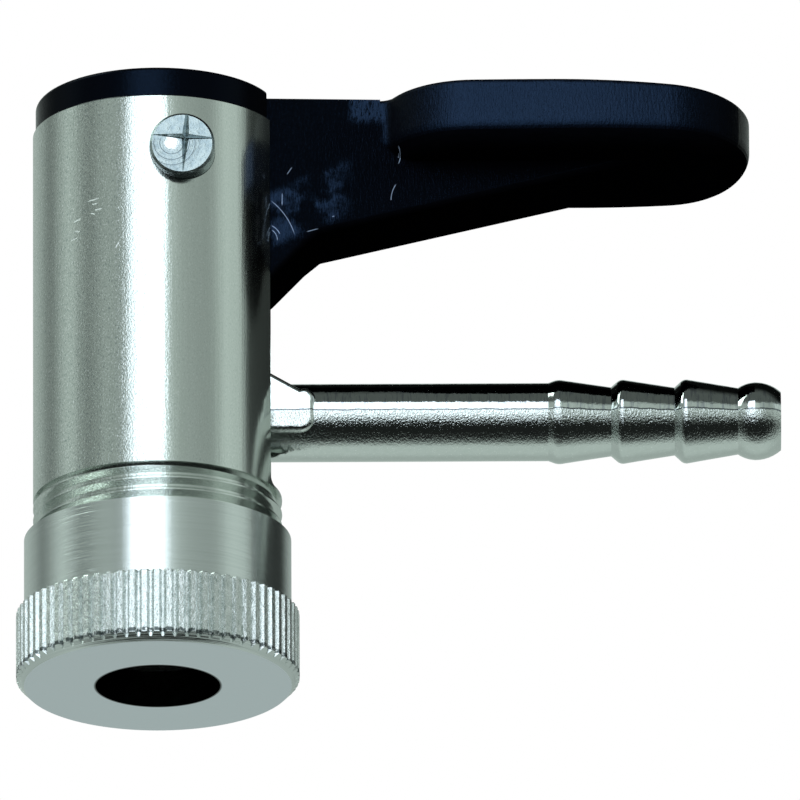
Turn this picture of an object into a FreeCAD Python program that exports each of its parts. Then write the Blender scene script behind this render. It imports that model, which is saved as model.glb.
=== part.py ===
import FreeCAD, Part

# Lever-lock tyre valve connector, the clip-on chuck at the end of an inflator's hose.
# Millimetres. The origin is the centre of the valve hole in the clamp nut's lower face.
# +Z runs up the barrel, and +X is the way the lever and the hose spigot point.

import math
import os

from FreeCAD import Vector

# Clearances
SEAT_GAP = 0.02        # flat faces of pieces that turn or slide on each other
PIN_FIT = 0.02         # fixed pin in its hole, radial
RUNNING_FIT = 0.08     # lever on its pin and plunger in its bore, radial
LOOSE_FIT = 0.20       # rings that lie loosely in a bore, radial
RUBBER_ROOM = 0.30     # room round the rubber, radial
CAM_GAP = 0.04         # cam to its plate
SIDE_GAP = 0.23        # lever hub to each cheek

# Clamp nut
NUT_HEIGHT = 12.3
NUT_FLOOR = 3.0
VALVE_HOLE_R = 5.0
NUT_WALL = 0.92          # collar, outside the thread's root
COLLAR_EDGE = 0.25
KNURL_RAISE = 0.37       # knurl's tips above the collar
KNURL_TOP = 5.95
KNURL_TEETH = 72
KNURL_DEPTH = 0.32
KNURL_TIP_SHARE = 0.42   # flat top of a tooth, as a share of the tooth spacing
KNURL_ROOT_SHARE = 0.16
FOOT_CHAMFER = 0.65
NUT_MOUTH_CHAMFER = 0.35
NUT_THREAD_RISE = 0.2    # lower end of the nut's thread above the barrel's foot
NUT_RUNOUT = 0.4         # plain stretch beyond each end of the nut's thread

# Thread of barrel and nut
THREAD_PITCH = 1.0
THREAD_DEPTH = 0.61
THREAD_CREST = 0.125
THREAD_SLACK = 0.10      # each flank to the mating flank, along the axis
THREAD_TIP_ROOM = 0.08   # barrel's crest to the nut's root, radial
NUT_CREST_ROOM = 0.20    # nut's crest to the barrel's root, radial
THREAD_LENGTH = 9.2
THREAD_PHASE = 0.5       # height of the barrel's ridge at +X, as a share of the pitch
FLANK = math.radians(30)
RIDGE_ROOT = 0.05        # how far a ridge is let into its wall
RUNOUT_WIDTH = 0.42
BARREL_FOOT_CHAMFER = 0.5

# Barrel
BARREL_R = 10.0
BARREL_WALL = 1.5
BARREL_FOOT_RISE = 3.0   # the barrel's lower end above the nut's floor
RIM_OVER_PIVOT = 4.6
RIM_BREAK = 0.12
SLOT_HALF = 4.13
SLOT_ROOM = 3.41         # slot's lower end below the spigot
SLOT_CORNER_R = 0.8

# Pieces stacked in the barrel
SLIP_RING_THICK = 1.0
SEAL_HEIGHT = 7.44
SEAL_BORE_R = 3.9
SEAL_LIP = 0.35
SEAL_LIPS = 3
SEAL_FLANGE = 1.4
SEAL_EDGE = 0.4
PRESSURE_RING_THICK = 1.0
PRESSURE_RING_BORE_R = 4.3
CAM_PLATE_THICK = 1.5
CAM_PLATE_EDGE = 0.3

# Plunger and hose spigot
PLUNGER_HEIGHT = 17.0
PLUNGER_EDGE = 0.5
PLUNGER_BORE_R = 2.5
SPIGOT_RISE = 9.87       # spigot's axis above the plunger's lower face
SPIGOT_R = 3.14
SPIGOT_BORE_R = 1.7
SPIGOT_MOUTH = 0.35
BARB_START = 31.4
BARB_PITCH = 5.1
BARB_COUNT = 3
BARB_CREST_R = 3.42
BARB_CREST_RUN = 0.75    # steep side of a barb, along the spigot
BARB_ROUND = 0.35
BARB_ROOT_RS = (2.78, 2.73, 2.68)
BARB_FOOT = 0.05         # plain foot between one barb and the next
BULB_R = 3.13
BULB_RUN = 1.35
BULB_END = 2.1           # from the bulb's widest place to the spigot's end
BULB_SWELL = (0.42, 0.64)     # a point of the bulb's rise, as shares of its run and height
BULB_TAPER = (0.32, 0.58)     # a point of its fall, the same way from the spigot's end
SPIGOT_END_R = 2.35
ROOT_HALF = 3.25         # flat-sided root of the spigot, half its width
ROOT_REACH = 2.7         # beyond the barrel
ROOT_LOW = -1.75
ROOT_TOP_START = 3.6
ROOT_TOP_END = 1.85
ROOT_CORNER = 1.2
ROOT_BLEND = 0.45

# Depressor pin
DEPRESSOR_R = 0.9
DEPRESSOR_REACH = 1.0    # tip below the pressure ring
DEPRESSOR_TIP_EDGE = 0.36
DEPRESSOR_HEAD_THICK = 2.2
DEPRESSOR_HEAD_RISE = 0.8
DEPRESSOR_FLUTES = 3
DEPRESSOR_FLUTE_R = 0.75

# Pivot and cam
PIVOT_X = 2.1
PIN_R = 2.62
PIN_PROUD = 1.0          # each end beyond the barrel
PIN_EDGE = 0.2
STAKE_OFFSET = (0.27, 0.57)   # cross from the pin's middle, along X and Z
STAKE_ARMS = (           # turn in degrees, reach from the cross's middle, half width
    (-4, 2.9, 0.26), (86, 3.2, 0.30),
)
STAKE_DEPTH = 0.34
HUB_ROOM = 0.35          # hub's back corners to the bore
CLAMP_TRAVEL = 2.0
LEVER_SWING = math.radians(90)
CAM_FLAT = 3.1           # flat beside the cam that holds the closed lever
CAM_BACK_FLAT = 3.2
CAM_POINTS = 13

# Lever
HUB_TOP = 6.6            # hub's upper face above the pivot
HUB_TOP_START = -3.6
HUB_SHOULDER = (-6.7, 4.6)
NECK_TOP_Z_DROP = 0.3
HEEL_X = 9.3
HEEL_RISE = 2.5
WEB_KNEE_X = 13.1
WEB_KNEE_RISE = 6.24
WEB_END_X = 38.5
WEB_END_RISE = 12.22
WEB_BEND_RUN = 1.25      # the underside turns this far before the knee
WEB_BEND_DROP = 1.05     # and this far below it
WEB_LET_IN = 1.5         # web's far end goes this far up into the paddle
PADDLE_START = 18.0
PADDLE_NECK_END = (18.95, 4.47)   # the paddle's outline: x, and half width there
PADDLE_SHOULDER = (25.4, 8.42)
PADDLE_MIDDLE = (32.0, 8.63)
PADDLE_CORNER = (41.3, 8.25)
PADDLE_CORNER_END = (45.25, 6.3)
PADDLE_TIP_START = (46.9, 3.9)
PADDLE_TOP_RUNOUT = 1.0  # the curve of the top goes on this far beyond the tip
PADDLE_UNDER_RISE = 1.0  # underside above the pivot
PADDLE_CROWN = 0.42      # rise of the paddle's top above the straight line from start to tip
PADDLE_TOP_FALL = 0.75   # from the neck's end to the tip
PADDLE_UNDER_EDGE = 1.9
PADDLE_TOP_EDGE = 0.4
WEB_EDGE = 0.5

# End cap
CAP_INSET = 0.22         # cap's edge inside the barrel's
CAP_THICK = 2.45
CAP_EDGE = 0.35
CAP_SLOT_BACK = -5.0
CHEEK_DEPTH = 11.4

# Heights of the stack, from the nut's lower face up
BORE_R = BARREL_R - BARREL_WALL
HUB_HALF = SLOT_HALF - SIDE_GAP
CAM_CLOSED = PIVOT_X + math.sqrt(BORE_R ** 2 - HUB_HALF ** 2) - HUB_ROOM + CLAMP_TRAVEL
SLIP_Z = NUT_FLOOR + SEAT_GAP
SEAL_Z = SLIP_Z + SLIP_RING_THICK
PRESSURE_Z = SEAL_Z + SEAL_HEIGHT + SEAT_GAP
PLUNGER_Z = PRESSURE_Z + PRESSURE_RING_THICK
PLATE_Z = PLUNGER_Z + PLUNGER_HEIGHT
PLATE_TOP = PLATE_Z + CAM_PLATE_THICK
PIVOT_Z = PLATE_TOP + CAM_GAP + CAM_CLOSED
SPIGOT_Z = PLUNGER_Z + SPIGOT_RISE
BARREL_FOOT = NUT_FLOOR + BARREL_FOOT_RISE
THREAD_TOP = BARREL_FOOT + THREAD_LENGTH
RIM_Z = PIVOT_Z + RIM_OVER_PIVOT
SLOT_FOOT = SPIGOT_Z - SPIGOT_R - SLOT_ROOM
THREAD_ROOT_R = BARREL_R - THREAD_DEPTH
NUT_ROOT_R = BARREL_R + THREAD_TIP_ROOM
NUT_CREST_R = THREAD_ROOT_R + NUT_CREST_ROOM
NUT_BORE_R = NUT_CREST_R
NUT_THREAD_START = BARREL_FOOT + NUT_THREAD_RISE
COLLAR_R = NUT_ROOT_R + NUT_WALL
KNURL_R = COLLAR_R + KNURL_RAISE
CAP_R = BARREL_R - CAP_INSET
BARB_LENGTH = BARB_PITCH - BARB_CREST_RUN - BARB_FOOT
SPIGOT_END = BARB_START + BARB_COUNT * BARB_PITCH - BARB_FOOT + BULB_RUN + BULB_END
ROOT_END = BARREL_R + ROOT_REACH
PLUNGER_R = BORE_R - RUNNING_FIT
FAR = 100.0
TINY = 1e-6
LEVEL = 0.5              # an edge steeper than this isn't taken for one of the top's

UP = Vector(0, 0, 1)
ALONG_X = Vector(1, 0, 0)
ALONG_Y = Vector(0, 1, 0)


def cylinder(radius, low, high):
    """Solid cylinder on the barrel's axis between two heights."""
    return Part.makeCylinder(radius, high - low, Vector(0, 0, low), UP)


def cross_cylinder(radius, x, z, half_length):
    """Solid cylinder along Y through (x, z)."""
    return Part.makeCylinder(radius, 2 * half_length, Vector(x, -half_length, z), ALONG_Y)


def block(low, high):
    """Box between two corners."""
    return Part.makeBox(high[0] - low[0], high[1] - low[1], high[2] - low[2], Vector(*low))


def revolved(points):
    """Turned solid on the barrel's axis from (radius, height) points."""
    corners = [Vector(r, 0, z) for r, z in points]
    face = Part.Face(Part.makePolygon(corners + corners[:1]))
    return face.revolve(Vector(0, 0, 0), UP, 360)


def edges_where(shape, test):
    """Edges of a shape whose middle point passes the test."""
    return [e for e in shape.Edges if test(e, e.valueAt((e.FirstParameter + e.LastParameter) / 2))]


def line(a, b):
    """Straight edge between two points."""
    return Part.LineSegment(a, b).toShape()


def arc(a, middle, b):
    """Round edge from one point to another through a middle one."""
    return Part.Arc(a, middle, b).toShape()


def tangent_arc(a, heading, b):
    """Round edge from a to b that leaves a along a unit heading, and the heading in which it arrives."""
    chord = b - a
    along = Vector(chord).normalize()
    across = heading - along * heading.dot(along)
    half_turn = math.atan2(across.Length, heading.dot(along))
    bulge = chord.Length / 2 * math.tan(half_turn / 2)
    middle = (a + b) / 2 + across.normalize() * bulge
    return arc(a, middle, b), along * (2 * heading.dot(along)) - heading


def ridge_width(radius):
    """Width along the axis of the barrel's thread ridge at a radius."""
    return THREAD_CREST + 2 * (BARREL_R - radius) * math.tan(FLANK)


def helical_ridge(inner_r, outer_r, inner_w, outer_w, z, turns):
    """Thread ridge that starts at +X, with its middle at height z."""
    path = Part.Wire(Part.makeHelix(THREAD_PITCH, turns * THREAD_PITCH, BARREL_R).Edges)
    path.translate(Vector(0, 0, z))
    corners = [
        Vector(inner_r, 0, z - inner_w / 2),
        Vector(outer_r, 0, z - outer_w / 2),
        Vector(outer_r, 0, z + outer_w / 2),
        Vector(inner_r, 0, z + inner_w / 2),
    ]
    profile = Part.makePolygon(corners + corners[:1])
    return path.makePipeShell([profile], True, True)


def first_turn(height):
    """Height of the barrel's ridge at +X, one to two pitches under a given height."""
    steps = math.floor(height / THREAD_PITCH - THREAD_PHASE)
    return (steps - 1 + THREAD_PHASE) * THREAD_PITCH


def barrel_thread():
    """The barrel's thread ridge, cut to the threaded length and chamfered at its foot."""
    start = first_turn(BARREL_FOOT)
    turns = math.ceil((THREAD_TOP - start) / THREAD_PITCH) + 1
    root = THREAD_ROOT_R - RIDGE_ROOT
    ridge = helical_ridge(root, BARREL_R, ridge_width(root), THREAD_CREST, start, turns)
    trim = revolved([
        (root - 1, BARREL_FOOT),
        (BARREL_R - BARREL_FOOT_CHAMFER, BARREL_FOOT),
        (BARREL_R + 1, BARREL_FOOT + BARREL_FOOT_CHAMFER + 1),
        (BARREL_R + 1, THREAD_TOP),
        (root - 1, THREAD_TOP),
    ])
    return ridge.common(trim)


def barrel():
    """Slotted tube with the thread on its lower end."""
    body = revolved([
        (BORE_R, BARREL_FOOT),
        (THREAD_ROOT_R, BARREL_FOOT),
        (THREAD_ROOT_R, THREAD_TOP + RUNOUT_WIDTH),
        (BARREL_R, THREAD_TOP + RUNOUT_WIDTH),
        (BARREL_R, RIM_Z - RIM_BREAK),
        (BARREL_R - RIM_BREAK, RIM_Z),
        (BORE_R, RIM_Z),
    ])
    body = body.fuse(barrel_thread())
    slot = block((0, -SLOT_HALF, SLOT_FOOT), (FAR, SLOT_HALF, FAR))
    corners = edges_where(slot, lambda e, m: abs(m.z - SLOT_FOOT) < TINY and abs(m.y) > SLOT_HALF / 2)
    slot = slot.makeFillet(SLOT_CORNER_R, corners)
    hole = cross_cylinder(PIN_R + PIN_FIT, PIVOT_X, PIVOT_Z, FAR)
    return body.cut(slot.fuse(hole))


def knurl_outline():
    """Closed outline of the knurled band, one tooth after another."""
    step = 2 * math.pi / KNURL_TEETH
    tip = step * KNURL_TIP_SHARE / 2
    root = step * (1 - KNURL_ROOT_SHARE) / 2
    points = []
    for tooth in range(KNURL_TEETH):
        middle = tooth * step
        for turn, radius in ((-root, KNURL_R - KNURL_DEPTH), (-tip, KNURL_R), (tip, KNURL_R),
                             (root, KNURL_R - KNURL_DEPTH)):
            angle = middle + turn
            points.append(Vector(radius * math.cos(angle), radius * math.sin(angle), 0))
    return Part.makePolygon(points + points[:1])


def nut_thread():
    """The nut's thread ridge, which runs in the middle of the barrel's groove."""
    start = first_turn(NUT_THREAD_START) + THREAD_PITCH / 2
    top = NUT_HEIGHT - NUT_MOUTH_CHAMFER - NUT_RUNOUT
    turns = math.ceil((top - start) / THREAD_PITCH) + 1
    root = NUT_ROOT_R + RIDGE_ROOT
    tip_w = THREAD_PITCH - ridge_width(NUT_CREST_R) - 2 * THREAD_SLACK
    root_w = THREAD_PITCH - ridge_width(root) - 2 * THREAD_SLACK
    ridge = helical_ridge(NUT_CREST_R, root, tip_w, root_w, start, turns)
    return ridge.common(cylinder(root + 1, NUT_THREAD_START, top))


def clamp_nut():
    """Knurled nut with the valve hole in its floor."""
    outside = revolved([
        (0, 0),
        (KNURL_R - FOOT_CHAMFER, 0),
        (KNURL_R, FOOT_CHAMFER),
        (KNURL_R, KNURL_TOP),
        (COLLAR_R, KNURL_TOP),
        (COLLAR_R, NUT_HEIGHT - COLLAR_EDGE),
        (COLLAR_R - COLLAR_EDGE, NUT_HEIGHT),
        (0, NUT_HEIGHT),
    ])
    band = Part.Face(knurl_outline()).extrude(Vector(0, 0, KNURL_TOP))
    plain = cylinder(KNURL_R - 2 * KNURL_DEPTH, 0, NUT_HEIGHT)
    body = outside.common(band.fuse(plain))
    cavity = revolved([
        (0, NUT_FLOOR),
        (NUT_BORE_R, NUT_FLOOR),
        (NUT_BORE_R, NUT_THREAD_START - NUT_RUNOUT),
        (NUT_ROOT_R, NUT_THREAD_START - NUT_RUNOUT),
        (NUT_ROOT_R, NUT_HEIGHT - NUT_MOUTH_CHAMFER),
        (NUT_ROOT_R + NUT_MOUTH_CHAMFER, NUT_HEIGHT),
        (0, NUT_HEIGHT),
    ])
    body = body.cut(cavity)
    body = body.cut(cylinder(VALVE_HOLE_R, 0, NUT_FLOOR))
    return body.fuse(nut_thread())


def slip_ring():
    """Thin ring on the nut's floor."""
    ring = cylinder(NUT_BORE_R - LOOSE_FIT, SLIP_Z, SLIP_Z + SLIP_RING_THICK)
    return ring.cut(cylinder(VALVE_HOLE_R + LOOSE_FIT, SLIP_Z, SLIP_Z + SLIP_RING_THICK))


def seal():
    """Rubber grommet with a flange at its foot and lips in its bore, as squeezed by the closed lever."""
    top = SEAL_Z + SEAL_HEIGHT
    outer = BORE_R - RUBBER_ROOM
    flange = NUT_BORE_R - RUBBER_ROOM
    points = [
        (flange, SEAL_Z),
        (flange, SEAL_Z + SEAL_FLANGE),
        (outer, SEAL_Z + SEAL_FLANGE),
        (outer, top - SEAL_EDGE),
        (outer - SEAL_EDGE, top),
        (SEAL_BORE_R, top),
    ]
    step = SEAL_HEIGHT / (2 * SEAL_LIPS + 1)
    for lip in range(SEAL_LIPS):
        low = top - (2 * lip + 1) * step
        points += [(SEAL_BORE_R, low), (SEAL_BORE_R - SEAL_LIP, low - step / 2), (SEAL_BORE_R, low - step)]
    points.append((SEAL_BORE_R, SEAL_Z))
    return revolved(points)


def pressure_ring():
    """Flat ring between plunger and seal."""
    top = PRESSURE_Z + PRESSURE_RING_THICK
    return cylinder(BORE_R - LOOSE_FIT, PRESSURE_Z, top).cut(cylinder(PRESSURE_RING_BORE_R, PRESSURE_Z, top))


def cam_plate():
    """Steel disc on the plunger, with a broken upper edge."""
    r = BORE_R - LOOSE_FIT
    return revolved([
        (0, PLATE_Z),
        (r, PLATE_Z),
        (r, PLATE_TOP - CAM_PLATE_EDGE),
        (r - CAM_PLATE_EDGE, PLATE_TOP),
        (0, PLATE_TOP),
    ])


def between(a, b, shares):
    """Point from a towards b, a share of the way along X and another along Z."""
    return Vector(a.x + (b.x - a.x) * shares[0], 0, a.z + (b.z - a.z) * shares[1])


def barb_crest(x, r_before, r_after_slope):
    """Edges of one rounded barb crest: the steep side up, and the round over the crest."""
    top = Vector(x + BARB_CREST_RUN, 0, BARB_CREST_R)
    rise = Vector(x, 0, r_before)
    up = (top - rise).normalize()
    down = Vector(1, 0, -r_after_slope).normalize()
    entry = top - up * BARB_ROUND
    leave = top + down * BARB_ROUND
    middle = (entry + leave) * 0.25 + top * 0.5
    return [line(rise, entry), arc(entry, middle, leave)], leave


def spigot_profile():
    """Half section of the barbed spigot along X, closed on its axis."""
    edges = []
    here = Vector(0, 0, SPIGOT_R)
    edges.append(line(Vector(0, 0, 0), here))
    x = BARB_START
    before = SPIGOT_R
    for barb in range(BARB_COUNT):
        edges.append(line(here, Vector(x, 0, before)))
        foot_x = BARB_START + barb * BARB_PITCH + BARB_CREST_RUN + BARB_LENGTH
        slope = (BARB_CREST_R - BARB_ROOT_RS[barb]) / BARB_LENGTH
        crest, leave = barb_crest(x, before, slope)
        edges += crest
        here = leave
        before = BARB_ROOT_RS[barb]
        x = foot_x
    root = Vector(x, 0, before)
    bulb = Vector(x + BULB_RUN, 0, BULB_R)
    end = Vector(SPIGOT_END, 0, SPIGOT_END_R)
    axis_end = Vector(SPIGOT_END, 0, 0)
    edges.append(line(here, root))
    edges.append(arc(root, between(root, bulb, BULB_SWELL), bulb))
    edges.append(arc(bulb, between(end, bulb, BULB_TAPER), end))
    edges.append(line(end, axis_end))
    edges.append(line(axis_end, Vector(0, 0, 0)))
    return Part.Wire(Part.__sortEdges__(edges))


def spigot():
    """Barbed hose spigot along +X at its height."""
    turned = Part.Face(spigot_profile()).revolve(Vector(0, 0, 0), ALONG_X, 360)
    turned.translate(Vector(0, 0, SPIGOT_Z))
    return turned


def spigot_root():
    """Flat-sided gusset where the spigot leaves the plunger."""
    z = SPIGOT_Z
    c = ROOT_CORNER
    start = BORE_R / 2
    slope = (ROOT_TOP_START - ROOT_TOP_END) / (ROOT_END - c - BORE_R)
    top = [Vector(start, 0, z + ROOT_TOP_START), Vector(BORE_R, 0, z + ROOT_TOP_START),
           Vector(ROOT_END - c, 0, z + ROOT_TOP_END)]
    side_high = Vector(ROOT_END, 0, z + ROOT_TOP_END - c)
    side_low = Vector(ROOT_END, 0, z + ROOT_LOW + c)
    low = Vector(ROOT_END - c, 0, z + ROOT_LOW)
    bend = c * (1 - math.sqrt(0.5))
    edges = [
        line(top[0], top[1]),
        line(top[1], top[2]),
        arc(top[2], Vector(ROOT_END - bend, 0, z + ROOT_TOP_END - bend + slope * bend), side_high),
        line(side_high, side_low),
        arc(side_low, Vector(ROOT_END - bend, 0, z + ROOT_LOW + bend), low),
        line(low, Vector(start, 0, z + ROOT_LOW)),
        line(Vector(start, 0, z + ROOT_LOW), top[0]),
    ]
    face = Part.Face(Part.Wire(edges))
    face.translate(Vector(0, -ROOT_HALF, 0))
    solid = face.extrude(Vector(0, 2 * ROOT_HALF, 0))
    outer = edges_where(solid, lambda e, m: abs(abs(m.y) - ROOT_HALF) < TINY and m.x > start + TINY)
    return solid.makeFillet(ROOT_BLEND, outer)


def plunger():
    """Forging that slides in the barrel, with the hose spigot on its side and the air way through it."""
    body = revolved([
        (0, PLUNGER_Z),
        (PLUNGER_R - PLUNGER_EDGE, PLUNGER_Z),
        (PLUNGER_R, PLUNGER_Z + PLUNGER_EDGE),
        (PLUNGER_R, PLATE_Z - PLUNGER_EDGE),
        (PLUNGER_R - PLUNGER_EDGE, PLATE_Z),
        (0, PLATE_Z),
    ])
    body = body.fuse(spigot()).fuse(spigot_root())
    body = body.cut(cylinder(PLUNGER_BORE_R, PLUNGER_Z, SPIGOT_Z))
    way = Part.makeCylinder(SPIGOT_BORE_R, SPIGOT_END, Vector(0, 0, SPIGOT_Z), ALONG_X)
    mouth = Part.makeCone(SPIGOT_BORE_R, SPIGOT_BORE_R + SPIGOT_MOUTH, SPIGOT_MOUTH,
                          Vector(SPIGOT_END - SPIGOT_MOUTH, 0, SPIGOT_Z), ALONG_X)
    return body.cut(way.fuse(mouth))


def depressor_pin():
    """Pin with a fluted head in the plunger's bore; its tip opens the valve core."""
    head_low = PLUNGER_Z + DEPRESSOR_HEAD_RISE
    head = cylinder(PLUNGER_BORE_R, head_low, head_low + DEPRESSOR_HEAD_THICK)
    tip_z = PRESSURE_Z - DEPRESSOR_REACH
    shank = revolved([
        (0, tip_z),
        (DEPRESSOR_R - DEPRESSOR_TIP_EDGE, tip_z),
        (DEPRESSOR_R, tip_z + DEPRESSOR_TIP_EDGE),
        (DEPRESSOR_R, head_low + DEPRESSOR_HEAD_THICK / 2),
        (0, head_low + DEPRESSOR_HEAD_THICK / 2),
    ])
    for flute in range(DEPRESSOR_FLUTES):
        angle = 2 * math.pi * flute / DEPRESSOR_FLUTES
        centre = Vector(PLUNGER_BORE_R * math.cos(angle), PLUNGER_BORE_R * math.sin(angle), 0)
        cut = cylinder(DEPRESSOR_FLUTE_R, head_low, head_low + DEPRESSOR_HEAD_THICK)
        cut.translate(centre)
        head = head.cut(cut)
    return head.fuse(shank)


def stake_mark(reach, half_width):
    """Eight-sided punch whose lower half leaves a pointed V groove along X in a face square to Y."""
    tips = [Vector(reach, 0, 0), Vector(0, 0, half_width), Vector(-reach, 0, 0), Vector(0, 0, -half_width)]
    faces = []
    for start, end in zip(tips, tips[1:] + tips[:1]):
        for depth in (-STAKE_DEPTH, STAKE_DEPTH):
            faces.append(Part.Face(Part.makePolygon([start, end, Vector(0, depth, 0), start])))
    return Part.makeSolid(Part.makeShell(faces))


def pivot_pin():
    """Plain pin along Y, with a staked cross on each end."""
    half = BARREL_R + PIN_PROUD
    pin = cross_cylinder(PIN_R, PIVOT_X, PIVOT_Z, half)
    pin = pin.makeChamfer(PIN_EDGE, edges_where(pin, lambda e, m: abs(abs(m.y) - half) < TINY))
    for side in (-1, 1):
        face_y = side * half
        for turn, reach, half_width in STAKE_ARMS:
            groove = stake_mark(reach, half_width)
            groove.rotate(Vector(0, 0, 0), ALONG_Y, side * turn)
            groove.translate(Vector(PIVOT_X - side * STAKE_OFFSET[0], face_y, PIVOT_Z + STAKE_OFFSET[1]))
            pin = pin.cut(groove)
    return pin


def cam_point(angle):
    """Point of the cam, from the pivot, where its outward direction has this angle.

    The distance from the pivot to the plate falls evenly as the lever is lifted.
    """
    rate = CLAMP_TRAVEL / LEVER_SWING
    closed = -math.pi / 2
    reach = CAM_CLOSED - rate * (closed - angle)
    out = Vector(math.cos(angle), 0, math.sin(angle))
    side = Vector(-math.sin(angle), 0, math.cos(angle))
    return out * reach + side * rate


def lever_side():
    """Side outline of hub, neck and web, from the pivot."""
    closed = -math.pi / 2
    cam = [cam_point(closed - LEVER_SWING * i / (CAM_POINTS - 1)) for i in range(CAM_POINTS)]
    curve = Part.BSplineCurve()
    curve.interpolate(cam)
    flat_end = Vector(cam[0].x + CAM_FLAT, 0, cam[0].z)
    heel = Vector(HEEL_X - PIVOT_X, 0, flat_end.z + HEEL_RISE)
    knee = Vector(WEB_KNEE_X - PIVOT_X, 0, flat_end.z + WEB_KNEE_RISE)
    bend = knee - Vector(WEB_BEND_RUN, 0, WEB_BEND_DROP)
    web_end = Vector(WEB_END_X - PIVOT_X, 0, flat_end.z + WEB_END_RISE)
    web_top = Vector(web_end.x, 0, web_end.z + WEB_LET_IN)
    neck_top = Vector(PADDLE_START - PIVOT_X, 0, HUB_TOP - NECK_TOP_Z_DROP)
    under_neck = Vector(neck_top.x, 0, web_top.z)
    hub_top = Vector(HUB_TOP_START, 0, HUB_TOP)
    back = Vector(cam[-1].x, 0, cam[-1].z + CAM_BACK_FLAT)
    shoulder = Vector(HUB_SHOULDER[0], 0, HUB_SHOULDER[1])
    edges = [
        curve.toShape(),
        line(cam[0], flat_end),
        line(flat_end, heel),
        line(heel, bend),
        line(bend, knee),
        line(knee, web_end),
        line(web_end, web_top),
        line(web_top, under_neck),
        line(under_neck, neck_top),
        line(neck_top, hub_top),
        arc(hub_top, shoulder, back),
        line(back, cam[-1]),
    ]
    return Part.Wire(Part.__sortEdges__(edges))


def paddle_side():
    """Arcs of one side of the paddle, each in line with the one before, from the neck to the tip."""
    here = Vector(PADDLE_START - PIVOT_X, HUB_HALF, 0)
    heading = ALONG_X
    edges = []
    for x, half in (PADDLE_NECK_END, PADDLE_SHOULDER, PADDLE_MIDDLE, PADDLE_CORNER, PADDLE_CORNER_END,
                    PADDLE_TIP_START):
        there = Vector(x - PIVOT_X, half, 0)
        edge, heading = tangent_arc(here, heading, there)
        edges.append(edge)
        here = there
    falling = math.atan2(-heading.y, heading.x)
    tip_run = here.y / math.tan((falling + math.pi / 2) / 2)
    tip = Vector(here.x + tip_run, 0, 0)
    edges.append(tangent_arc(here, heading, tip)[0])
    return edges, tip


def paddle_plan():
    """Plan outline of the paddle, from the neck round the tip and back, and its tip."""
    side, tip = paddle_side()
    other = [edge.mirror(Vector(0, 0, 0), ALONG_Y) for edge in side]
    start_x = PADDLE_START - PIVOT_X
    neck = line(Vector(start_x, -HUB_HALF, 0), Vector(start_x, HUB_HALF, 0))
    return Part.Wire(Part.__sortEdges__(side + other + [neck])), tip


def paddle():
    """Thumb paddle, its top gently crowned along its length."""
    under = PADDLE_UNDER_RISE
    top = HUB_TOP - NECK_TOP_Z_DROP
    outline, tip = paddle_plan()
    plan = Part.Face(outline).extrude(Vector(0, 0, HUB_TOP + 1 - under))
    plan.translate(Vector(0, 0, under))
    start = Vector(PADDLE_START - PIVOT_X, -FAR, top)
    end = Vector(tip.x + PADDLE_TOP_RUNOUT, -FAR, top - PADDLE_TOP_FALL)
    middle = (start + end) / 2 + UP * PADDLE_CROWN
    low_start = Vector(start.x, -FAR, under - 1)
    low_end = Vector(end.x, -FAR, under - 1)
    sides = [line(end, low_end), line(low_end, low_start), line(low_start, start)]
    profile = Part.Wire([arc(start, middle, end)] + sides)
    solid = plan.common(Part.Face(profile).extrude(Vector(0, 2 * FAR, 0)))
    low = edges_where(solid, lambda e, m: abs(m.z - under) < TINY and m.x > start.x + TINY)
    solid = solid.makeFillet(PADDLE_UNDER_EDGE, low)
    high = edges_where(solid, lambda e, m: m.z > end.z - PADDLE_TOP_EDGE and m.x > start.x + TINY
                       and abs(e.tangentAt(e.FirstParameter).z) < LEVEL)
    return solid.makeFillet(PADDLE_TOP_EDGE, high)


def on_open_edge(edge, middle):
    """True for the long edges of web and neck that the hand meets."""
    on_side = abs(abs(middle.y) - HUB_HALF) < TINY
    past_heel = HEEL_X - PIVOT_X < middle.x < WEB_END_X - PIVOT_X
    return on_side and past_heel and (middle.z > HUB_TOP - NECK_TOP_Z_DROP or middle.z < PADDLE_UNDER_RISE)


def lever():
    """Cam lever: hub with the cam, neck, web under the paddle, and the paddle."""
    face = Part.Face(lever_side())
    face.translate(Vector(0, -HUB_HALF, 0))
    web = face.extrude(Vector(0, 2 * HUB_HALF, 0))
    web = web.makeFillet(WEB_EDGE, edges_where(web, on_open_edge))
    body = web.fuse(paddle()).removeSplitter()
    body = body.cut(cross_cylinder(PIN_R + RUNNING_FIT, 0, 0, FAR))
    body.translate(Vector(PIVOT_X, 0, PIVOT_Z))
    return body


def end_cap():
    """Cap on the barrel's rim with two cheeks beside the lever's hub."""
    disc = cylinder(CAP_R, RIM_Z, RIM_Z + CAP_THICK)
    top = edges_where(disc, lambda e, m: abs(m.z - RIM_Z - CAP_THICK) < TINY)
    disc = disc.makeFillet(CAP_EDGE, top)
    plug = cylinder(BORE_R - PIN_FIT, RIM_Z - CHEEK_DEPTH, RIM_Z)
    hub_room = block((-FAR, -SLOT_HALF, RIM_Z - CHEEK_DEPTH), (FAR, SLOT_HALF, RIM_Z))
    slot = block((CAP_SLOT_BACK, -SLOT_HALF, RIM_Z), (FAR, SLOT_HALF, FAR))
    hole = cross_cylinder(PIN_R + PIN_FIT, PIVOT_X, PIVOT_Z, FAR)
    return disc.fuse(plug).cut(hub_room.fuse(slot).fuse(hole))


PARTS = {
    "barrel": barrel,
    "clamp_nut": clamp_nut,
    "end_cap": end_cap,
    "lever": lever,
    "pivot_pin": pivot_pin,
    "plunger": plunger,
    "cam_plate": cam_plate,
    "pressure_ring": pressure_ring,
    "depressor_pin": depressor_pin,
    "seal": seal,
    "slip_ring": slip_ring,
}

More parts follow.
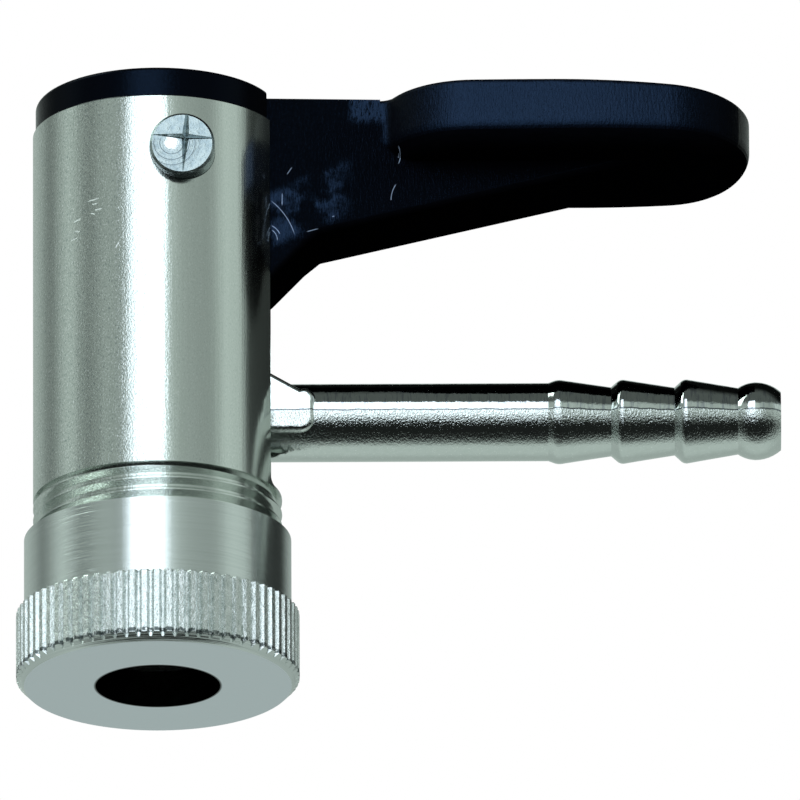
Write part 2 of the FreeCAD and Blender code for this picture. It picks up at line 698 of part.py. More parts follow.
os.makedirs("parts", exist_ok=True)
for name, make in PARTS.items():
    shape = make()
    shape.exportStep(f"parts/{name}.step")
    print(f"{name}: solids {len(shape.Solids)}, valid {shape.isValid()}, volume {shape.Volume:.2f}")
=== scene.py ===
# A lever-lock tyre valve connector on a pale floor, seen from a little below.
# Metres. The frame's origin is the centre of the valve hole, +Z runs up the barrel
# and +X is the way the lever and the hose spigot point.

import math

import bpy
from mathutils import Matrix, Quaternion, Vector

MM = 0.001

# Camera, as in the photograph: 800 pixels wide and high, taken through a long lens
PHOTO_SIDE = 800
PIXELS_PER_MM = 12.44
VIEW_CENTRE = Vector((19.5, 0, 24.3)) * MM
CAMERA_ELEVATION = math.radians(-20)
CAMERA_ROLL = math.radians(-0.25)
LENS = 1500.0
SENSOR = 36.0

# Key light: direction from the view's centre, then distance and size
KEY_AZIMUTH = math.radians(-10.6)
KEY_ELEVATION = math.radians(20)
KEY_DISTANCE = 0.5
KEY_WIDTH = 0.275
KEY_HEIGHT = 0.445
KEY_RADIANCE = 1.7
KEY_COLOUR = (0.80, 0.885, 1.0)
SHEEN_RADIANCE = 45.0        # of a second light in the same place, which falls on black plastic only

# Surround that the metal mirrors: light level by azimuth in degrees, 0 towards the camera
# and + to its right
SURROUND = (
    (-180, 0.53), (-145, 0.46), (-130, 0.35), (-119, 0.20), (-108, 0.31), (-98, 0.50), (-90, 0.60),
    (-82, 0.48), (-76, 0.35), (-69, 0.20), (-60, 0.29), (-50, 0.41), (-42, 0.43), (-36, 0.34),
    (-28, 0.38), (6, 0.66), (14, 0.56), (20, 0.46), (30, 0.40), (48, 0.36), (55, 0.40), (60, 0.52),
    (66, 0.65), (82, 0.60), (88, 0.42), (94, 0.05), (136, 0.03), (150, 0.30), (180, 0.53),
)
SURROUND_TINT = (0.86, 1.0, 0.94)
ABOVE_FRONT = 0.10
ABOVE_BACK = 0.004
BELOW_FRONT = 0.014
BELOW_BACK = 0.56
BELOW_FAR = 0.45             # behind, near the horizon
FAR_BAND = (-60.0, -30.0)
BEHIND = (-0.32, 0.14)       # along Y of a direction's unit vector, where front turns to back
BAND_FOOT = (-9.0, 2.0)      # elevations, in degrees, between which the surround fades in
BAND_TOP = (34.0, 42.0)      # and out again
WINDOW = (-80.0, 50.0)       # azimuth and elevation of a small bright patch, in degrees
WINDOW_HALF = (16.0, 14.0)
WINDOW_SOFT = 9.0
WINDOW_LEVEL = 3.0
FILL_LEVEL = 0.72            # even light on what is not a mirror

FLOOR_DROP = 0.5 * MM
FLOOR_SIZE = 1.2
FLOOR_CLEAR = (0.10, 0.30)   # radii between which the floor fades into the white surround
FLOOR_COLOUR = (0.86, 0.865, 0.865)

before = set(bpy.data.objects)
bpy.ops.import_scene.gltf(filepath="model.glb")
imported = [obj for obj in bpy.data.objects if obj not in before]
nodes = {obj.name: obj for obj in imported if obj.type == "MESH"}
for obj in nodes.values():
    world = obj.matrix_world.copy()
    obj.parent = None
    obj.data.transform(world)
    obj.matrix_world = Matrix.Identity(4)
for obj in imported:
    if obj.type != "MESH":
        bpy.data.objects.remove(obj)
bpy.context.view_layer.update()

SOCKETS = {
    "metallic": "Metallic",
    "specular_ior_level": "Specular IOR Level",
    "specular_tint": "Specular Tint",
}


class Tree:
    """Short calls for shader nodes. A value is a number, a tuple or another node's output."""

    def __init__(self, owner):
        owner.use_nodes = True
        self.tree = owner.node_tree
        self.tree.nodes.clear()

    def add(self, kind, inputs=(), **settings):
        node = self.tree.nodes.new(kind)
        for name, value in settings.items():
            setattr(node, name, value)
        for key, value in dict(inputs).items():
            self.put(node.inputs[key], value)
        return node

    def put(self, socket, value):
        if isinstance(value, bpy.types.NodeSocket):
            self.tree.links.new(value, socket)
        elif isinstance(value, tuple) and len(value) == 3 and socket.type == "RGBA":
            socket.default_value = (*value, 1.0)
        else:
            socket.default_value = value

    def math(self, operation, *values):
        return self.add("ShaderNodeMath", enumerate(values), operation=operation).outputs[0]

    def vector(self, operation, *values):
        node = self.add("ShaderNodeVectorMath", enumerate(values), operation=operation)
        return node.outputs["Value" if operation in ("LENGTH", "DOT_PRODUCT") else "Vector"]

    def split(self, vector):
        return self.add("ShaderNodeSeparateXYZ", {0: vector}).outputs[:3]

    def join(self, x, y, z):
        return self.add("ShaderNodeCombineXYZ", {0: x, 1: y, 2: z}).outputs[0]

    def smooth(self, value, low, high):
        """0 below low, 1 above high, with a soft step between."""
        node = self.add("ShaderNodeMapRange", {0: value, 1: low, 2: high}, interpolation_type="SMOOTHSTEP")
        return node.outputs[0]

    def span(self, value, low, high):
        """0 to 1 mapped to low to high."""
        return self.add("ShaderNodeMapRange", {0: value, 3: low, 4: high}).outputs[0]

    def near(self, value, middle, half, soft):
        """1 within half of the middle, falling to 0 over soft."""
        away = self.math("ABSOLUTE", self.math("SUBTRACT", value, middle))
        return self.math("SUBTRACT", 1.0, self.smooth(away, half, half + soft))

    def mix(self, factor, a, b):
        """Blend of two numbers."""
        node = self.add("ShaderNodeMix", {0: factor, 2: a, 3: b}, data_type="FLOAT")
        return node.outputs[0]

    def blend(self, factor, a, b, how="MIX"):
        """Blend of two colours."""
        node = self.add("ShaderNodeMix", {0: factor, 6: a, 7: b}, data_type="RGBA", blend_type=how)
        return node.outputs[2]

    def noise(self, vector, per_mm=1.0, detail=2.0, roughness=0.5):
        """Noise of 0 to 1. Its scale is one number, or one for each axis."""
        if isinstance(per_mm, tuple):
            vector = self.vector("MULTIPLY", vector, per_mm)
            per_mm = 1.0
        inputs = {"Vector": vector, "Scale": per_mm, "Detail": detail, "Roughness": roughness}
        return self.add("ShaderNodeTexNoise", inputs).outputs["Fac"]

    def place(self):
        """Place on the piece, in millimetres."""
        here = self.add("ShaderNodeTexCoord").outputs["Object"]
        return self.vector("MULTIPLY", here, (1 / MM, 1 / MM, 1 / MM))

    def bump(self, height, depth, normal=None):
        """Normal for a height of 0 to 1 that stands for a depth in millimetres."""
        node = self.add("ShaderNodeBump", {"Height": height, "Distance": depth * MM, "Strength": 1.0})
        if normal is not None:
            self.put(node.inputs["Normal"], normal)
        return node.outputs[0]

    def stroke(self, x, z, start, end, half):
        """1 on a thin straight mark between two points, seen along Y."""
        run = Vector(end) - Vector(start)
        along = run.normalized()
        from_x = self.math("SUBTRACT", x, start[0])
        from_z = self.math("SUBTRACT", z, start[1])
        here = self.join(from_x, from_z, 0.0)
        forward = self.vector("DOT_PRODUCT", here, (along.x, along.y, 0.0))
        aside = self.vector("DOT_PRODUCT", here, (-along.y, along.x, 0.0))
        inside = self.near(forward, run.length / 2, run.length / 4, run.length / 4)
        return self.math("MULTIPLY", inside, self.near(aside, 0.0, half / 2, half))

    def arc_mark(self, x, z, centre, radius, low, high, half):
        """1 on a thin round mark about a centre, between two angles in degrees, seen along Y."""
        from_x = self.math("SUBTRACT", x, centre[0])
        from_z = self.math("SUBTRACT", z, centre[1])
        far = self.vector("LENGTH", self.join(from_x, from_z, 0.0))
        turn = self.math("DEGREES", self.math("ARCTAN2", from_z, from_x))
        inside = self.near(turn, (low + high) / 2, (high - low) / 3, (high - low) / 6)
        return self.math("MULTIPLY", inside, self.near(far, radius, half / 2, half))

    def most(self, masks):
        """The largest of several masks."""
        total = masks[0]
        for mask in masks[1:]:
            total = self.math("MAXIMUM", total, mask)
        return total

    def turn(self, factor, a, b):
        """Blend of two normals."""
        node = self.add("ShaderNodeMix", {0: factor, 4: a, 5: b}, data_type="VECTOR")
        return self.vector("NORMALIZE", node.outputs[1])

    def surface(self, colour, roughness, normal=None, dull=None, **constants):
        """Principled surface, matt where the dull mask is 1, written to the material's output."""
        shader = self.add("ShaderNodeBsdfPrincipled", {"Base Color": colour, "Roughness": roughness})
        if normal is not None:
            self.put(shader.inputs["Normal"], normal)
        for name, value in constants.items():
            self.put(shader.inputs[SOCKETS[name]], value)
        out = shader.outputs[0]
        if dull is not None:
            matt = self.add("ShaderNodeBsdfDiffuse", {"Color": colour})
            out = self.add("ShaderNodeMixShader", {0: dull, 1: out, 2: matt.outputs[0]}).outputs[0]
        self.add("ShaderNodeOutputMaterial", {"Surface": out})


def new_material(name):
    """Empty material and its tree."""
    material = bpy.data.materials.new(name)
    return material, Tree(material)


def direction(azimuth, elevation):
    """Unit vector from an azimuth, 0 towards the camera and + to its right, and an elevation."""
    flat = math.cos(elevation)
    return Vector((math.sin(azimuth) * flat, -math.cos(azimuth) * flat, math.sin(elevation)))


def camera():
    """Long lens a little below the part, as in the photograph."""
    data = bpy.data.cameras.new("camera")
    data.lens = LENS
    data.sensor_width = SENSOR
    eye = bpy.data.objects.new("camera", data)
    bpy.context.scene.collection.objects.link(eye)
    width = PHOTO_SIDE / PIXELS_PER_MM * MM
    away = direction(0, CAMERA_ELEVATION)
    eye.location = VIEW_CENTRE + away * (width * LENS / SENSOR)
    eye.rotation_mode = "QUATERNION"
    eye.rotation_quaternion = (-away).to_track_quat("-Z", "Y") @ Quaternion((0, 0, 1), CAMERA_ROLL)
    bpy.context.scene.camera = eye


def soft_box(name, radiance):
    """Lamp of the key light's size and place."""
    data = bpy.data.lights.new(name, "AREA")
    data.shape = "RECTANGLE"
    data.size = KEY_WIDTH
    data.size_y = KEY_HEIGHT
    data.energy = radiance * math.pi * KEY_WIDTH * KEY_HEIGHT
    data.color = KEY_COLOUR
    lamp = bpy.data.objects.new(name, data)
    bpy.context.scene.collection.objects.link(lamp)
    towards = direction(KEY_AZIMUTH, KEY_ELEVATION)
    lamp.location = VIEW_CENTRE + towards * KEY_DISTANCE
    lamp.rotation_mode = "QUATERNION"
    lamp.rotation_quaternion = (-towards).to_track_quat("-Z", "Y")
    lamp.visible_camera = False
    return lamp


def sheen_light(*names):
    """Stronger light in the same place that falls on the named nodes alone."""
    lit = bpy.data.collections.new("sheen")
    for name in names:
        lit.objects.link(nodes[name])
    soft_box("sheen", SHEEN_RADIANCE).light_linking.receiver_collection = lit


def surround():
    """World: white behind the piece, soft strips and dark gaps for mirrors, even fill for the rest."""
    world = bpy.data.worlds.new("studio")
    bpy.context.scene.world = world
    world.cycles.sampling_method = "NONE"
    t = Tree(world)
    x, y, z = t.split(t.add("ShaderNodeTexCoord").outputs["Generated"])
    azimuth = t.math("ARCTAN2", x, t.math("MULTIPLY", y, -1.0))
    share = t.math("ADD", t.math("DIVIDE", azimuth, 2 * math.pi), 0.5)
    ramp = t.add("ShaderNodeValToRGB", {0: share})
    stops = ramp.color_ramp.elements
    while len(stops) < len(SURROUND):
        stops.new(1.0)
    for stop, (angle, level) in zip(stops, SURROUND):
        stop.position = angle / 360 + 0.5
        stop.color = (level, level, level, 1.0)
    elevation = t.math("DEGREES", t.math("ARCSINE", z))
    behind = t.smooth(y, *BEHIND)
    above = t.mix(behind, ABOVE_FRONT, ABOVE_BACK)
    low_back = t.mix(t.smooth(elevation, *FAR_BAND), BELOW_BACK, BELOW_FAR)
    below = t.mix(behind, BELOW_FRONT, low_back)
    level = t.mix(t.smooth(elevation, *BAND_FOOT), below, ramp.outputs[0])
    level = t.mix(t.smooth(elevation, *BAND_TOP), level, above)
    beside = t.near(t.math("DEGREES", azimuth), WINDOW[0], WINDOW_HALF[0], WINDOW_SOFT)
    window = t.math("MULTIPLY", beside, t.near(elevation, WINDOW[1], WINDOW_HALF[1], WINDOW_SOFT))
    level = t.math("MULTIPLY_ADD", window, WINDOW_LEVEL, level)
    mirrored = t.blend(1.0, SURROUND_TINT, t.join(level, level, level), "MULTIPLY")
    path = t.add("ShaderNodeLightPath").outputs
    white = t.math("MAXIMUM", path["Is Camera Ray"], path["Is Transmission Ray"])
    fill = (FILL_LEVEL, FILL_LEVEL, FILL_LEVEL)
    colour = t.blend(path["Is Glossy Ray"], fill, mirrored)
    colour = t.blend(white, colour, (1.0, 1.0, 1.0))
    back = t.add("ShaderNodeBackground", {"Color": colour, "Strength": 1.0})
    t.add("ShaderNodeOutputWorld", {"Surface": back.outputs[0]})


def floor():
    """Pale floor that takes the shadow. Seen from below it is open, and mirrors look through it."""
    material, t = new_material("floor")
    x, y, _ = t.split(t.place())
    radius = t.vector("LENGTH", t.join(x, y, 0.0))
    clear = t.smooth(radius, FLOOR_CLEAR[0] / MM, FLOOR_CLEAR[1] / MM)
    path = t.add("ShaderNodeLightPath").outputs
    under = t.add("ShaderNodeNewGeometry").outputs["Backfacing"]
    passing = t.math("MAXIMUM", path["Is Glossy Ray"], path["Is Transmission Ray"])
    open_share = t.math("MAXIMUM", t.math("MAXIMUM", clear, under), passing)
    paint = t.add("ShaderNodeBsdfDiffuse", {"Color": FLOOR_COLOUR})
    gap = t.add("ShaderNodeBsdfTransparent")
    both = t.add("ShaderNodeMixShader", {0: open_share, 1: paint.outputs[0], 2: gap.outputs[0]})
    t.add("ShaderNodeOutputMaterial", {"Surface": both.outputs[0]})
    half = FLOOR_SIZE / 2
    mesh = bpy.data.meshes.new("floor")
    corners = [(x, y, -FLOOR_DROP) for x, y in ((-half, -half), (half, -half), (half, half), (-half, half))]
    mesh.from_pydata(corners, [], [(0, 1, 2, 3)])
    mesh.materials.append(material)
    plane = bpy.data.objects.new("floor", mesh)
    bpy.context.scene.collection.objects.link(plane)


# Plated tube. Sizes and depths are in millimetres here and below, and a noise runs from 0 to 1
TUBE_COLOURS = (0.655, 0.705, 0.665), (0.745, 0.785, 0.755)
TUBE_PIT = (0.45, 0.51, 0.50)
TUBE_SPARK = (0.97, 1.0, 1.0)
PIT_NOISE = (0.44, 0.28)     # noise between which a fleck fades in
SPARK_NOISE = (0.58, 0.74)
TUBE_ROUGHNESS = (0.11, 0.19)
STREAK_ROUGHNESS = (-0.03, 0.03)
SCRATCH_ROUGHNESS = 0.5
TUBE_GRAIN_DEPTH = 0.014
TUBE_STREAK_DEPTH = 0.012
WORN_X = (2.5, -1.5)         # where the worn side begins
CLEAN_SHARE = 0.25           # of the grain, on the other side
FRONT_Y = (0.0, -1.0)        # where the scratched side begins
TUBE_SCRATCH_HALF = 0.05
TUBE_SCRATCHES = (           # from and to, along X and Z
    ((-5.6, 38.30), (-4.5, 38.45)), ((-5.2, 38.0), (-4.7, 38.0)), ((-5.0, 37.45), (-4.3, 37.5)),
    ((-5.3, 37.3), (-4.9, 37.1)), ((-6.7, 36.9), (-6.0, 37.0)), ((-6.6, 36.1), (-6.1, 35.9)),
    ((-6.9, 35.4), (-6.3, 35.45)), ((-3.3, 33.9), (-2.95, 34.5)),
)


def plated_tube():
    """Satin nickel plate on drawn tube: upright streaks, bright and dark flecks, short scratches."""
    material, t = new_material("plated_tube")
    here = t.place()
    x, y, z = t.split(here)
    streak = t.noise(here, per_mm=(1.3, 1.3, 0.05), detail=3.0, roughness=0.6)
    grain = t.noise(here, per_mm=(8.0, 8.0, 5.0), roughness=0.6)
    speck = t.noise(here, per_mm=(10.0, 10.0, 5.5), detail=1.0)
    worn = t.mix(t.smooth(x, *WORN_X), CLEAN_SHARE, 1.0)
    bright = t.math("MULTIPLY", t.smooth(speck, *SPARK_NOISE), worn)
    dark = t.math("MULTIPLY", t.smooth(speck, *PIT_NOISE), worn)
    marks = t.most([t.stroke(x, z, start, end, TUBE_SCRATCH_HALF) for start, end in TUBE_SCRATCHES])
    marks = t.math("MULTIPLY", marks, t.smooth(y, *FRONT_Y))
    colour = t.blend(streak, *TUBE_COLOURS)
    colour = t.blend(dark, colour, TUBE_PIT)
    colour = t.blend(t.math("MAXIMUM", bright, marks), colour, TUBE_SPARK)
    roughness = t.math("ADD", t.span(grain, *TUBE_ROUGHNESS), t.span(streak, *STREAK_ROUGHNESS))
    roughness = t.mix(marks, roughness, SCRATCH_ROUGHNESS)
    normal = t.bump(t.math("MULTIPLY", grain, worn), TUBE_GRAIN_DEPTH)
    normal = t.bump(streak, TUBE_STREAK_DEPTH, normal)
    t.surface(colour, roughness, normal, metallic=1.0)
    return material


# Clamp nut
COLLAR_COLOURS = (0.67, 0.72, 0.70), (0.82, 0.86, 0.85)
KNURL_BRIGHT = (0.97, 1.0, 0.99)
KNURL_DARK = (0.36, 0.42, 0.41)
# painted shade: a near-black ragged ring along the knurl's lower edge
KNURL_FOOT_SHADE = (0.12, 0.14, 0.14)
FACE_COLOUR = (0.84, 0.88, 0.93)
# painted shade: near-black inside the valve hole
HOLE_SHADE_COLOUR = (0.05, 0.055, 0.055)
BRIGHT_BITS = (0.48, 0.66)   # noise between which the knurl's bits fade in
DARK_BITS = (0.42, 0.30)
FOOT_SHADE_BITS = (0.62, 0.48)
COLLAR_ROUGHNESS = (0.15, 0.24)
KNURL_ROUGHNESS = (0.12, 0.40)
FACE_ROUGHNESS = 0.34
TOOL_DEPTH = 0.04675
BITS_DEPTH = 0.07
RINGS_DEPTH = 0.003
OUTSIDE_RADIUS = (10.6, 10.9)
KNURL_BAND = (3.3, 2.55, 0.1)    # middle, half height and soft edge, along Z
# the same for the painted shade along the knurl's lower edge
FOOT_SHADE_BAND = (0.85, 0.12, 0.12)
FACE_Z = (0.03, 0.01)
HOLE_RADIUS = (5.2, 5.02)
HOLE_Z = (3.2, 3.1)


def turned_nut():
    """Turned and knurled plated brass: rings of tool marks, rough bright knurl with painted shade along its
    lower edge, smooth grey face, painted shade inside the hole.
    """
    material, t = new_material("turned_nut")
    here = t.place()
    x, y, z = t.split(here)
    radius = t.vector("LENGTH", t.join(x, y, 0.0))
    tool = t.noise(here, per_mm=(0.10, 0.10, 5.5), detail=3.0, roughness=0.65)
    grain = t.noise(here, per_mm=(5.0, 5.0, 7.0), roughness=0.6)
    rings = t.noise(t.join(radius, 0.0, 0.0), per_mm=4.0, detail=3.0, roughness=0.6)
    bits = t.noise(here, per_mm=(3.5, 3.5, 1.8), detail=4.0, roughness=0.7)
    outside = t.smooth(radius, *OUTSIDE_RADIUS)
    knurl = t.math("MULTIPLY", t.near(z, *KNURL_BAND), outside)
    foot_shade = t.math("MULTIPLY", knurl, t.near(z, *FOOT_SHADE_BAND))
    face = t.smooth(z, *FACE_Z)
    hole_shade = t.math("MULTIPLY", t.smooth(radius, *HOLE_RADIUS), t.smooth(z, *HOLE_Z))
    colour = t.blend(tool, *COLLAR_COLOURS)
    colour = t.blend(t.math("MULTIPLY", knurl, t.smooth(bits, *BRIGHT_BITS)), colour, KNURL_BRIGHT)
    colour = t.blend(t.math("MULTIPLY", knurl, t.smooth(bits, *DARK_BITS)), colour, KNURL_DARK)
    # painted shade along the knurl's lower edge
    colour = t.blend(t.math("MULTIPLY", foot_shade, t.smooth(bits, *FOOT_SHADE_BITS)), colour, KNURL_FOOT_SHADE)
    colour = t.blend(face, colour, FACE_COLOUR)
    # painted shade inside the valve hole, below the face
    colour = t.blend(hole_shade, colour, HOLE_SHADE_COLOUR)
    roughness = t.mix(knurl, t.span(grain, *COLLAR_ROUGHNESS), t.span(bits, *KNURL_ROUGHNESS))
    roughness = t.mix(face, roughness, FACE_ROUGHNESS)
    collar = t.math("MULTIPLY", outside, t.mix(face, t.mix(knurl, 1.0, 0.0), 0.0))
    normal = t.bump(t.math("MULTIPLY", tool, collar), TOOL_DEPTH)
    normal = t.bump(t.math("MULTIPLY", bits, knurl), BITS_DEPTH, normal)
    normal = t.bump(t.math("MULTIPLY", rings, face), RINGS_DEPTH, normal)
    t.surface(colour, roughness, normal, metallic=1.0)
    return material


# Plunger and its spigot
PARTING_Z = 22.35            # height of the line between the two dies
PARTING_WANDER = (-0.16, 0.16)
PARTING_WIDTH = (0.02, 0.05)     # half width and soft edge
LOWER_STEP = (0.02, -0.10)       # from the line, where the lower skin begins
PEPPER_Z = (19.2, 20.6)
UPRIGHT_NOISE = (0.50, 0.36)
GLINT_NOISE = (0.60, 0.74)
FORGING_COLOURS = (0.70, 0.75, 0.72), (0.80, 0.84, 0.82)
UPRIGHT_COLOUR = (0.52, 0.55, 0.58)
GLINT_COLOUR = (0.95, 0.98, 0.96)
PARTING_COLOUR = (0.16, 0.18, 0.22)
PARTING_SHARE = 0.85
FORGING_ROUGHNESS = (0.05, 0.11)
PEPPER_DEPTH = 0.048
PEEL_DEPTH = 0.014
PARTING_DEPTH = 0.015


def plated_forging():
    """Bright nickel plate over a forging: fine upright marks above the parting line, pepper below."""
    material, t = new_material("plated_forging")
    here = t.place()
    x, _, z = t.split(here)
    wander = t.noise(t.join(x, 0.0, 0.0), per_mm=0.7, detail=3.0, roughness=0.6)
    pepper = t.noise(here, per_mm=(7.0, 5.5, 5.5), roughness=0.7)
    peel = t.noise(here, per_mm=2.2)
    upright = t.noise(here, per_mm=(5.0, 0.6, 0.6), roughness=0.7)
    line_z = t.math("ADD", t.span(wander, *PARTING_WANDER), PARTING_Z)
    parting = t.near(z, line_z, *PARTING_WIDTH)
    lower = t.smooth(t.math("SUBTRACT", z, line_z), *LOWER_STEP)
    upper = t.math("SUBTRACT", 1.0, lower)
    peppered = t.math("MULTIPLY", lower, t.smooth(z, *PEPPER_Z))
    marks = t.math("MULTIPLY", t.smooth(upright, *UPRIGHT_NOISE), upper)
    glints = t.math("MULTIPLY", lower, t.smooth(pepper, *GLINT_NOISE))
    colour = t.blend(peel, *FORGING_COLOURS)
    colour = t.blend(marks, colour, UPRIGHT_COLOUR)
    colour = t.blend(glints, colour, GLINT_COLOUR)
    colour = t.blend(t.math("MULTIPLY", parting, PARTING_SHARE), colour, PARTING_COLOUR)
    normal = t.bump(t.math("MULTIPLY", pepper, peppered), PEPPER_DEPTH)
    normal = t.bump(peel, PEEL_DEPTH, normal)
    normal = t.bump(parting, PARTING_DEPTH, normal)
    t.surface(colour, t.span(peel, *FORGING_ROUGHNESS), normal, metallic=1.0)
    return material


# Black plastic of lever and cap
BLACK_GLOSS = 0.05
BLACK_SHEEN = (0.24, 0.50, 1.0)
LEVER_COLOURS = (0.0001, 0.00012, 0.00018), (0.00025, 0.0003, 0.0005)
CAP_COLOUR = (0.0002, 0.00025, 0.0004)
# pale scratches, and partly a painted highlight near the neck's step
SCRATCH_AND_GLINT_COLOUR = (0.060, 0.075, 0.095)
MARK_SHARE = (0.2, 1.0)
SHEEN_ROUGHNESS = (0.05, 0.75)
WEB_ROUGHNESS = 0.16
CAP_ROUGHNESS = (0.06, 0.18)
LEVER_GRAIN_DEPTH = 0.05
CAP_GRAIN_DEPTH = 0.018
DRAFT = 0.35                 # slope that shading gives the web's sides, so that they mirror no lamp
WEB_Y = (4.1, 3.95)          # distance from the middle plane at which the web begins
MARKED_Y = (3.5, 3.7)
DOWNWARD = (-0.15, -0.5)     # upward share of a normal at which the matt underside begins
ROOT_X = (11.5, 2.6, 2.2)    # middle, half length and soft edge of the worn patch at the root
ROOT_RISE = (34.2, 1.7, 1.2)     # the same across it
ROOT_SLOPE = 0.45
ROOT_NOISE = (0.34, 0.62)
NECK_X = (17.0, 1.0, 0.9)
NECK_Z = (47.9, 0.6, 1.1)
NECK_NOISE = (0.28, 0.55)
LEVER_SCRATCH_HALF = 0.032
LEVER_ARCS = (               # centre along X and Z, radius, and the angles between which it runs; the fourth is a painted highlight near the neck's step, the others scratches
    ((5.41, 35.46), 5.9, 15, 51), ((8.6, 36.6), 1.4, 20, 65), ((8.6, 36.6), 1.1, -3, 55),
    ((18.4, 43.7), 1.2, -32, 32), ((21.3, 40.0), 2.45, 145, 185),
)
# straight marks: the fourth is a painted highlight, a bright dot near the neck's step, the others scratches
LEVER_SCRATCHES_AND_GLINT = (
    ((12.0, 37.3), (13.05, 37.6)), ((10.46, 42.2), (10.92, 42.9)), ((10.1, 40.7), (10.08, 39.5)),
    ((19.45, 43.6), (19.5, 43.9)), ((14.1, 38.6), (14.3, 38.65)),
)


def black_lever():
    """Black moulded nylon: blue sheen, dark web with a worn root and neck, pale scratches, and a painted
    highlight near the neck's step.
    """
    material, t = new_material("black_lever")
    here = t.place()
    x, y, z = t.split(here)
    aside = t.math("ABSOLUTE", y)
    grain = t.noise(here, per_mm=(6.0, 6.0, 1.6), detail=3.0, roughness=0.7)
    fine = t.noise(here, per_mm=(9.0, 9.0, 4.0), roughness=0.8)
    wipe = t.noise(here, per_mm=(0.5, 0.5, 2.2), detail=3.0, roughness=0.6)
    patches = t.noise(here, per_mm=0.45, detail=3.0, roughness=0.6)
    arcs = [t.arc_mark(x, z, *mark, LEVER_SCRATCH_HALF) for mark in LEVER_ARCS]
    lines = [t.stroke(x, z, start, end, LEVER_SCRATCH_HALF) for start, end in LEVER_SCRATCHES_AND_GLINT]
    marks = t.math("MULTIPLY", t.most(arcs + lines), t.smooth(aside, *MARKED_Y))
    marks = t.math("MULTIPLY", marks, t.span(wipe, *MARK_SHARE))
    colour = t.blend(wipe, *LEVER_COLOURS)
    # pale scratches, and a painted highlight near the neck's step
    colour = t.blend(marks, colour, SCRATCH_AND_GLINT_COLOUR)
    rise = t.math("SUBTRACT", z, t.math("MULTIPLY", x, ROOT_SLOPE))
    root = t.math("MULTIPLY", t.near(x, *ROOT_X), t.near(rise, *ROOT_RISE))
    root = t.math("MULTIPLY", root, t.smooth(patches, *ROOT_NOISE))
    neck = t.math("MULTIPLY", t.near(x, *NECK_X), t.near(z, *NECK_Z))
    neck = t.math("MULTIPLY", neck, t.smooth(grain, *NECK_NOISE))
    flat = t.math("MAXIMUM", root, neck)
    drafted = t.math("MULTIPLY", t.smooth(aside, *WEB_Y), t.math("SUBTRACT", 1.0, flat))
    normal = t.bump(grain, LEVER_GRAIN_DEPTH)
    sloped = t.bump(t.math("MULTIPLY", x, -DRAFT), 1.0, normal)
    normal = t.turn(drafted, normal, sloped)
    roughness = t.mix(drafted, t.span(fine, *SHEEN_ROUGHNESS), WEB_ROUGHNESS)
    facing = t.split(t.add("ShaderNodeNewGeometry").outputs["True Normal"])[2]
    t.surface(colour, roughness, normal, dull=t.smooth(facing, *DOWNWARD), metallic=0.0,
              specular_ior_level=BLACK_GLOSS, specular_tint=BLACK_SHEEN)
    return material


def black_cap():
    """Black moulded nylon, with the lever's gloss and a finer grain."""
    material, t = new_material("black_cap")
    grain = t.noise(t.place(), per_mm=5.0, detail=3.0, roughness=0.7)
    normal = t.bump(grain, CAP_GRAIN_DEPTH)
    t.surface(CAP_COLOUR, t.span(grain, *CAP_ROUGHNESS), normal, metallic=0.0,
              specular_ior_level=BLACK_GLOSS, specular_tint=BLACK_SHEEN)
    return material


# Pivot pin
RING_CENTRE = (1.25, 42.35)  # middle of the turned rings and of the painted highlight, along X and Z
RING_RADIUS = (2.6, 1.6)
RING_Z = (42.9, 42.5)
RING_NOISE = (0.50, 0.62)
PIN_GLINT_RADIUS = (0.75, 0.35)
PIN_GLINT_WANDER = (-0.3, 0.3)
PIN_COLOURS = (0.27, 0.33, 0.35), (0.40, 0.46, 0.46)
PIN_NOISE = (0.35, 0.65)
RING_COLOUR = (0.12, 0.15, 0.17)
# painted highlight: a bright spot on each staked end
PIN_GLINT_COLOUR = (0.90, 0.93, 0.93)
PIN_ROUGHNESS = (0.16, 0.34)
RING_DEPTH = 0.03
PIN_GRAIN_DEPTH = 0.04


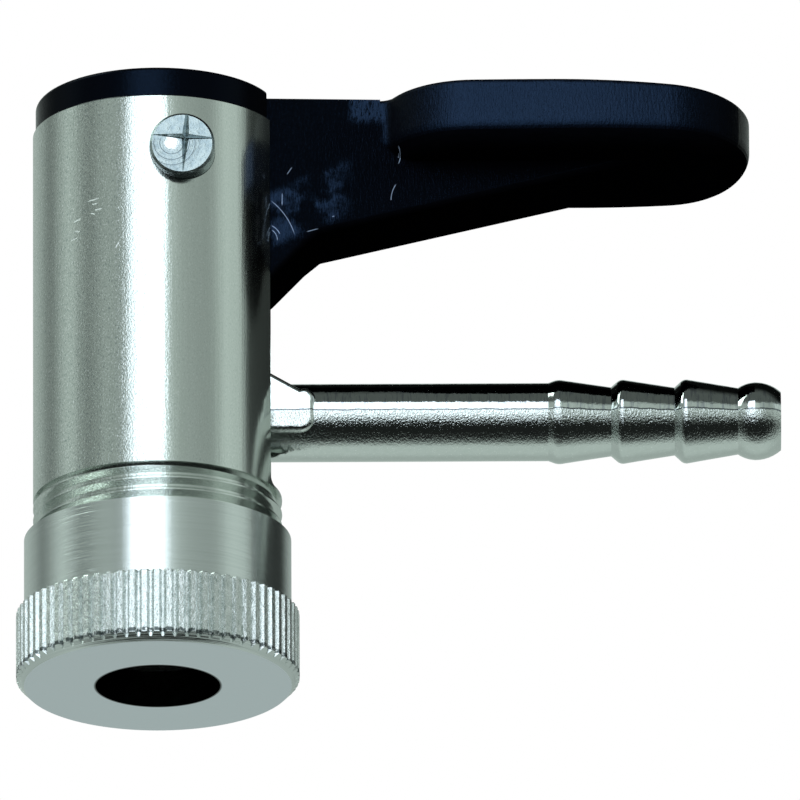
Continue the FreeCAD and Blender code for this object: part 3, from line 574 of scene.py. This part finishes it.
def pin_steel():
    """Turned pin: dark rings about a painted highlight, a bright spot beside the middle of each staked end.
    """
    material, t = new_material("pin_steel")
    here = t.place()
    x, _, z = t.split(here)
    from_x = t.math("SUBTRACT", x, RING_CENTRE[0])
    from_z = t.math("SUBTRACT", z, RING_CENTRE[1])
    far = t.vector("LENGTH", t.join(from_x, 0.0, from_z))
    rings = t.noise(t.join(far, 0.0, 0.0), per_mm=6.0, roughness=0.7)
    bits = t.noise(here, per_mm=2.5, detail=3.0, roughness=0.7)
    painted_glint = t.smooth(t.math("ADD", far, t.span(bits, *PIN_GLINT_WANDER)), *PIN_GLINT_RADIUS)
    ringed = t.math("MULTIPLY", t.smooth(far, *RING_RADIUS), t.smooth(z, *RING_Z))
    colour = t.blend(t.smooth(bits, *PIN_NOISE), *PIN_COLOURS)
    colour = t.blend(t.math("MULTIPLY", t.smooth(rings, *RING_NOISE), ringed), colour, RING_COLOUR)
    # painted highlight beside the middle of each end
    colour = t.blend(painted_glint, colour, PIN_GLINT_COLOUR)
    normal = t.bump(t.math("MULTIPLY", rings, ringed), RING_DEPTH)
    normal = t.bump(bits, PIN_GRAIN_DEPTH, normal)
    t.surface(colour, t.span(bits, *PIN_ROUGHNESS), normal, metallic=1.0)
    return material


# Inner metal and rubber
STEEL_COLOUR = (0.60, 0.61, 0.62)
STEEL_ROUGHNESS = (0.24, 0.36)
BRASS_COLOUR = (0.76, 0.60, 0.30)
BRASS_ROUGHNESS = (0.22, 0.34)
INNER_GRAIN_DEPTH = 0.01
RUBBER_COLOUR = (0.012, 0.012, 0.013)
RUBBER_ROUGHNESS = (0.4, 0.6)
RUBBER_GRAIN_DEPTH = 0.02


def plain_metal(name, colour, roughness):
    """Metal with a fine turned grain."""
    material, t = new_material(name)
    grain = t.noise(t.place(), per_mm=(2.0, 2.0, 6.0), detail=3.0)
    normal = t.bump(grain, INNER_GRAIN_DEPTH)
    t.surface(colour, t.span(grain, *roughness), normal, metallic=1.0)
    return material


def black_rubber():
    """Matt moulded rubber."""
    material, t = new_material("black_rubber")
    grain = t.noise(t.place(), per_mm=4.0, detail=4.0, roughness=0.6)
    normal = t.bump(grain, RUBBER_GRAIN_DEPTH)
    t.surface(RUBBER_COLOUR, t.span(grain, *RUBBER_ROUGHNESS), normal, metallic=0.0)
    return material


def dress(material, *names):
    """Give CAD nodes a material."""
    for name in names:
        slots = nodes[name].data.materials
        slots.clear()
        slots.append(material)


camera()
soft_box("key", KEY_RADIANCE)
sheen_light("lever", "end_cap")
surround()
floor()
dress(plated_tube(), "barrel")
dress(turned_nut(), "clamp_nut")
dress(plated_forging(), "plunger")
dress(black_lever(), "lever")
dress(black_cap(), "end_cap")
dress(pin_steel(), "pivot_pin")
dress(plain_metal("plate_steel", STEEL_COLOUR, STEEL_ROUGHNESS), "cam_plate", "slip_ring")
dress(plain_metal("ring_brass", BRASS_COLOUR, BRASS_ROUGHNESS), "pressure_ring", "depressor_pin")
dress(black_rubber(), "seal")

bpy.context.scene.view_settings.view_transform = "Standard"
